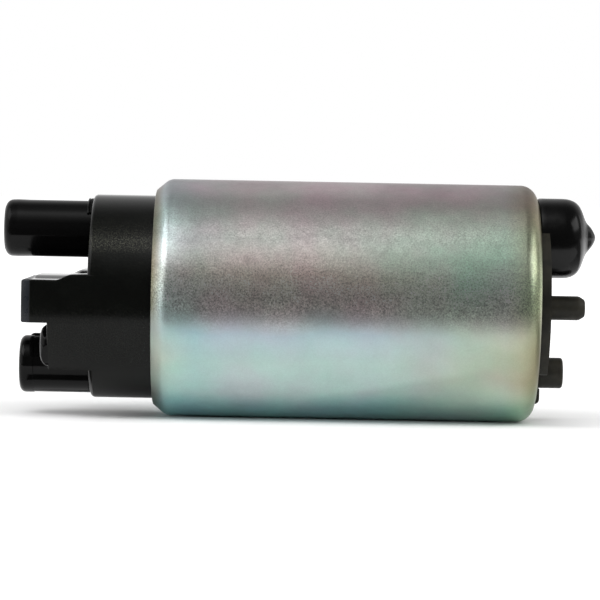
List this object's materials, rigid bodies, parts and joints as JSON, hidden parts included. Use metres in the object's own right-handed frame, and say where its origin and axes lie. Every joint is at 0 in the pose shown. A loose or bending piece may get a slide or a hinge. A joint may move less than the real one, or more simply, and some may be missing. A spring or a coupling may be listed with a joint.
{
  "type": "in-tank fuel pump",
  "caption": "Electric in-tank fuel pump: steel cased motor with brushes and a side-channel impeller, outlet cover with tube, connector and valves, capped inlet.",
  "frame": {"origin": "middle of the steel casing's length, on the casing's axis", "axes": "+X along the pump from the outlet to the inlet, +Z from the relief tube up to the outlet tube, -Y the side that the picture shows"},
  "size_m": [0.0947, 0.038, 0.038],
  "materials": {
    "zinc_plated_steel": "satin zinc plate",
    "outlet_plastic": "matte, moulded",
    "inlet_plastic": "matte, moulded, filled",
    "cap_vinyl": "glossy, dipped",
    "pump_plastic": "matte, moulded, filled",
    "bearing_carbon": "satin",
    "ground_steel": "ground",
    "lamination_steel": "rolled",
    "insulating_plastic": "matte, moulded",
    "enamelled_copper": "enamelled wire",
    "bare_copper": "turned",
    "magnet_ferrite": "pressed",
    "spring_steel": "drawn wire",
    "brush_carbon": "pressed",
    "terminal_metal": "tin plated",
    "choke_ferrite": "pressed",
    "seal_rubber": "matte",
    "valve_brass": "turned",
    "valve_rubber": "matte",
    "bronze": "sintered"
  },
  "bodies": {
    "housing": {"casing": "zinc_plated_steel", "inlet_cover": "inlet_plastic", "inlet_nipple": "inlet_plastic", "pump_housing": "pump_plastic", "thrust_button": "ground_steel", "lower_bearing": "bearing_carbon", "upper_bearing": "bronze", "magnet_upper": "magnet_ferrite", "magnet_lower": "magnet_ferrite", "magnet_clips": "spring_steel", "brush_holder": "outlet_plastic", "brush_spring_positive": "spring_steel", "brush_spring_negative": "spring_steel", "brush_lead_positive": "bare_copper", "brush_lead_negative": "bare_copper", "terminal_positive": "terminal_metal", "terminal_negative": "terminal_metal", "choke_cores": "choke_ferrite", "choke_windings": "enamelled_copper", "end_cover": "outlet_plastic", "outlet_tube": "outlet_plastic", "connector_shroud": "outlet_plastic", "end_cover_seal": "seal_rubber", "check_valve_seat": "valve_brass", "check_valve_spring": "spring_steel", "check_valve_stop": "valve_brass", "relief_spring": "spring_steel", "relief_plug": "outlet_plastic"},
    "rotor": {"shaft": "ground_steel", "impeller": "pump_plastic", "armature_core": "lamination_steel", "armature_insulators": "insulating_plastic", "armature_windings": "enamelled_copper", "commutator_base": "insulating_plastic", "commutator_segments": "bare_copper"},
    "brush_positive": {"brush_positive": "brush_carbon"},
    "brush_negative": {"brush_negative": "brush_carbon"},
    "check_valve": {"check_valve": "valve_rubber"},
    "relief_valve": {"relief_valve": "valve_brass"},
    "inlet_cap": {"inlet_cap": "cap_vinyl"}
  },
  "joints": [
    {"name": "rotor_spin", "type": "hinge", "parent": "housing", "child": "rotor", "pos_m": [0, 0, 0], "axis": [1, 0, 0], "continuous": true},
    {"name": "brush_positive_slide", "type": "slide", "parent": "housing", "child": "brush_positive", "axis": [1, 0, 0], "range_m": [-0.0025, 0], "stiffness_N_per_m": 60, "deforming": ["brush_spring_positive"]},
    {"name": "brush_negative_slide", "type": "slide", "parent": "housing", "child": "brush_negative", "axis": [1, 0, 0], "range_m": [-0.0025, 0], "stiffness_N_per_m": 60, "deforming": ["brush_spring_negative"]},
    {"name": "check_valve_slide", "type": "slide", "parent": "housing", "child": "check_valve", "axis": [1, 0, 0], "range_m": [-0.002, 0], "stiffness_N_per_m": 120, "deforming": ["check_valve_spring"]},
    {"name": "relief_valve_slide", "type": "slide", "parent": "housing", "child": "relief_valve", "axis": [1, 0, 0], "range_m": [-0.0015, 0], "stiffness_N_per_m": 850, "deforming": ["relief_spring"]},
    {"name": "inlet_cap_slide", "type": "slide", "parent": "housing", "child": "inlet_cap", "axis": [1, 0, 0], "range_m": [0, 0.02]}
  ]
}
